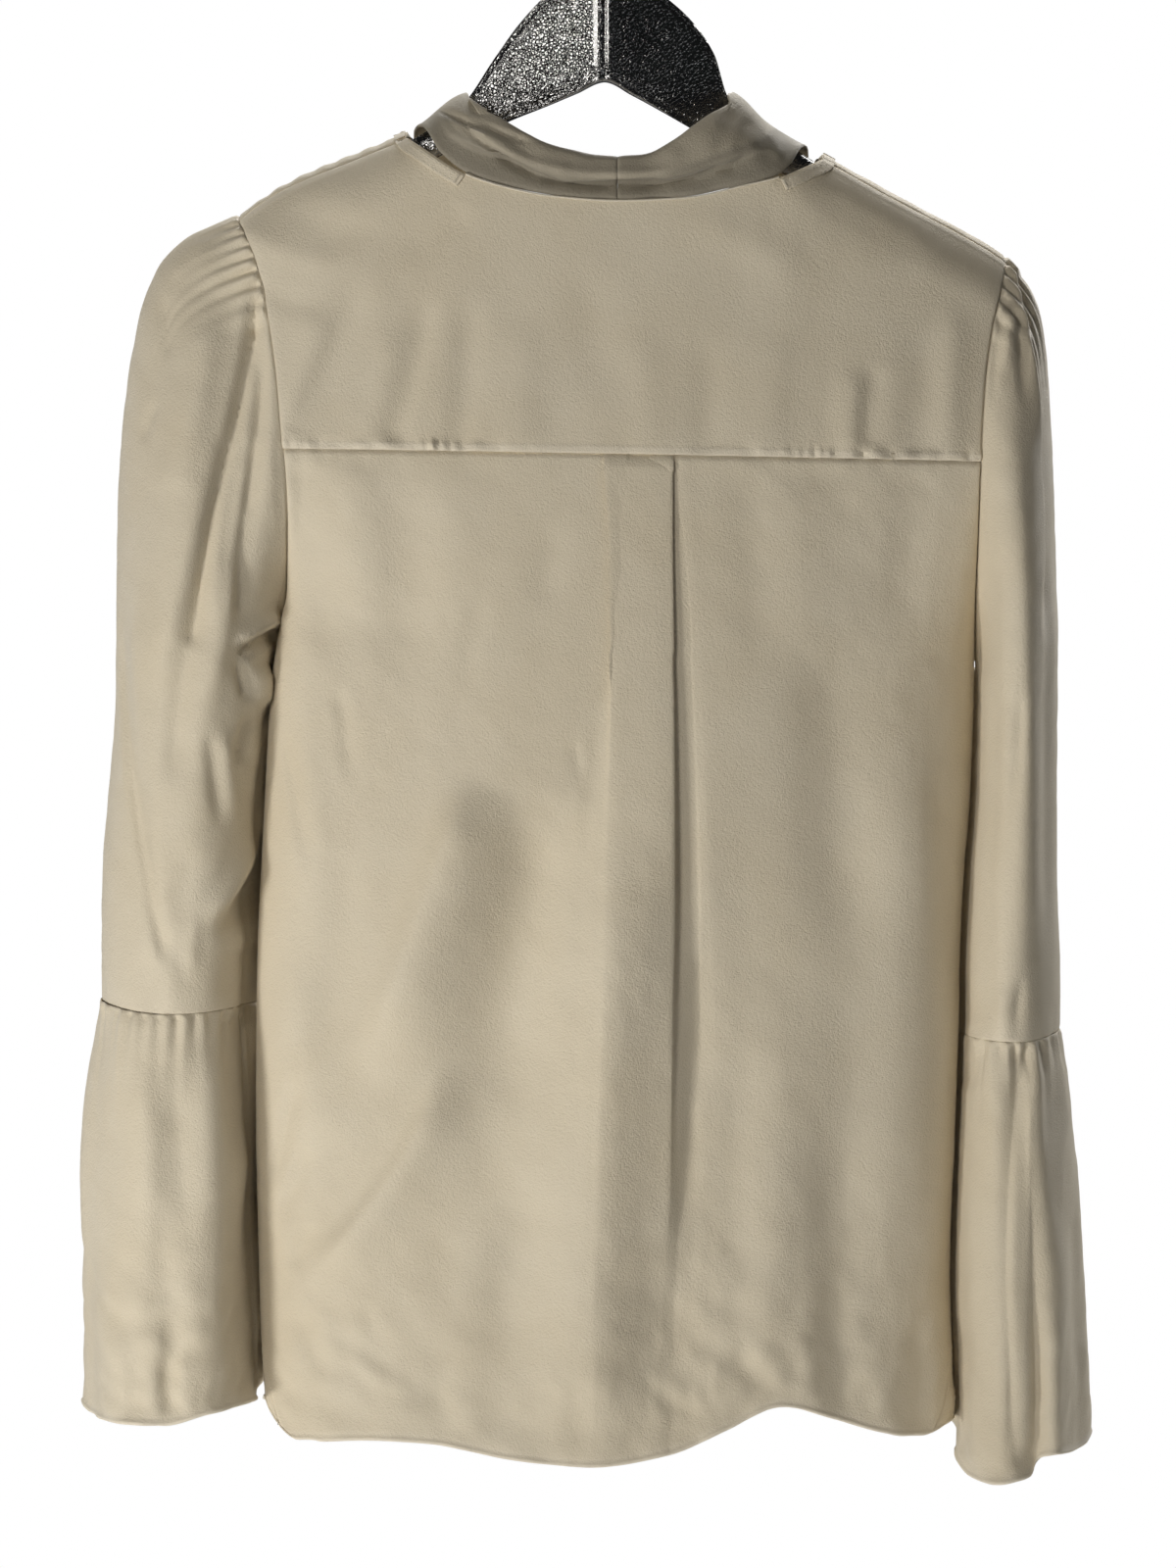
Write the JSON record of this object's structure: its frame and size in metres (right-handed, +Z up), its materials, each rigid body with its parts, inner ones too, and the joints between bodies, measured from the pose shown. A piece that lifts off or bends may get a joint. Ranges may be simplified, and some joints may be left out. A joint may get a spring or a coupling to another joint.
{
  "type": "silk blouse on a leather-covered clothes hanger",
  "caption": "Women's cream silk crepe blouse with a back yoke and centre pleat, gathered sleeves with flounces and a neck tie, hung on a black leather-covered hanger.",
  "frame": {"origin": "inside top of the hanger's hook, where a rail carries it", "axes": "+Z up; the garment's back faces -Y and its front +Y; +X is the wearer's right"},
  "size_m": [0.5165, 0.1339, 0.8595],
  "materials": {
    "silk": "matte crepe with a soft sheen",
    "leather": "glossy black grain",
    "steel": "satin"
  },
  "bodies": {
    "root": {"back_yoke": "silk", "back_body": "silk", "front_body": "silk", "sleeve_left": "silk", "sleeve_right": "silk", "flounce_left": "silk", "flounce_right": "silk", "neck_tie_left": "silk", "neck_tie_right": "silk", "neck_binding_left": "silk", "neck_binding_right": "silk", "hanger_body": "leather", "hanger_hook": "steel"}
  },
  "joints": []
}
